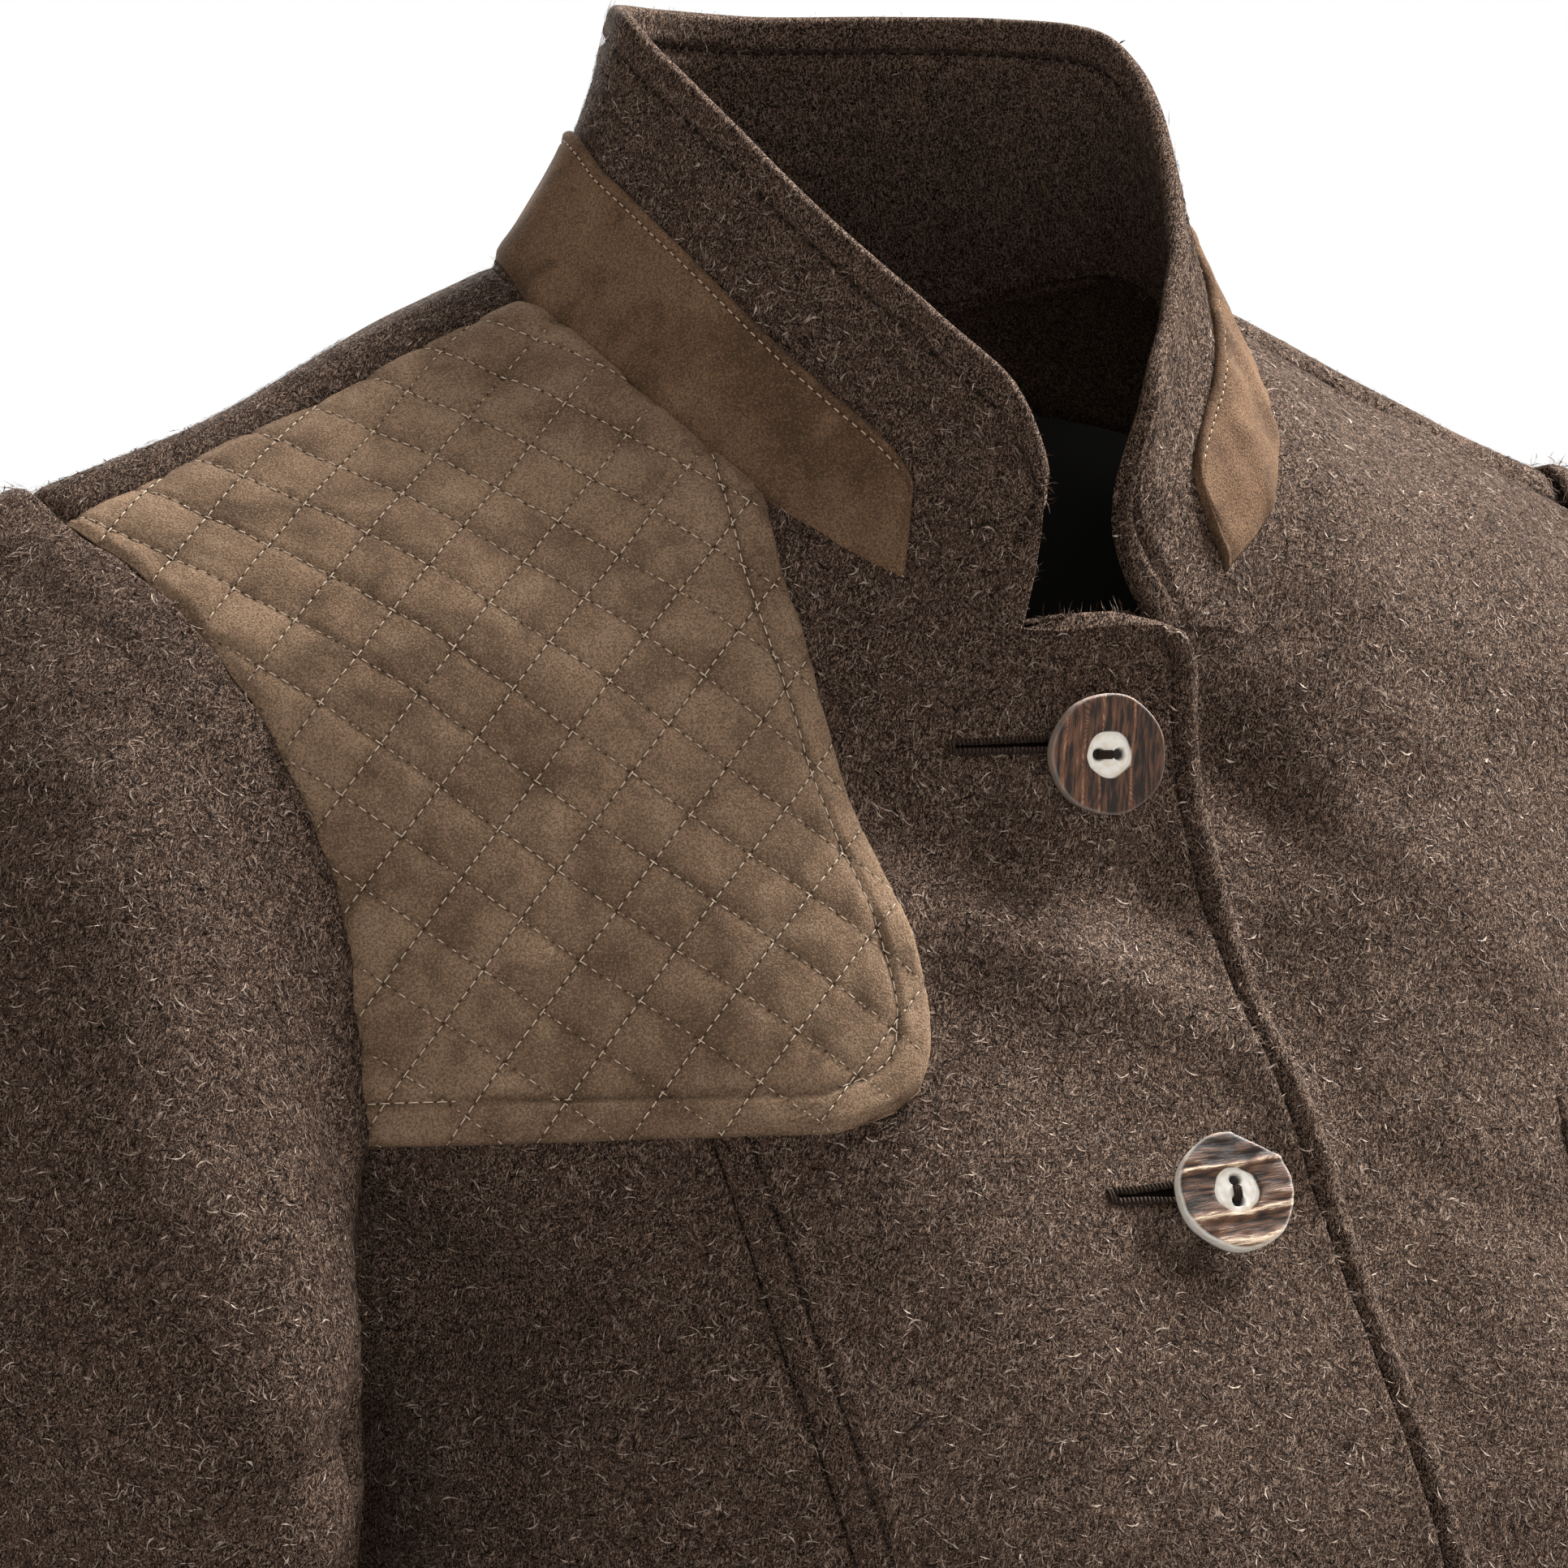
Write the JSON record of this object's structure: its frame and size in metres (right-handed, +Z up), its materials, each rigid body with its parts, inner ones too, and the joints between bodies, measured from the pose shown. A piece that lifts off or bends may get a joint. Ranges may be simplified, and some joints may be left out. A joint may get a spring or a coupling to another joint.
{
  "type": "women's loden jacket",
  "caption": "Fitted hip-length loden wool jacket with a stand collar, suede collar band, quilted shoulder patch, princess seams, shaped sleeves and horn buttons, in the Tyrolean style.",
  "frame": {"origin": "middle of the neck, level with the shoulder neck points, where the jacket hangs on its wearer", "axes": "+Z up the body, the front faces -Y, the wearer's right is -X"},
  "size_m": [0.554, 0.2915, 0.6837],
  "materials": {
    "wool": "matte heathered dark brown loden wool",
    "suede": "brown suede with a short nap",
    "quilted_suede": "taupe suede, quilted in a slanting grid",
    "lining": "smooth near-black lining",
    "horn": "stag horn, brown bark round a pale pith"
  },
  "bodies": {
    "root": {"front_right": "wool", "side_front_right": "wool", "front_left": "wool", "side_front_left": "wool", "back_right": "wool", "back_left": "wool", "back_lining": "lining", "sleeve_right_top": "wool", "sleeve_right_under": "wool", "sleeve_left_top": "wool", "sleeve_left_under": "wool", "collar": "wool", "collar_suede": "suede", "shoulder_patch": "quilted_suede", "chest_pocket_upper_welt": "wool", "chest_pocket_lower_welt": "wool", "button_1": "horn", "button_2": "horn", "button_3": "horn", "button_4": "horn", "button_5": "horn"}
  },
  "joints": []
}
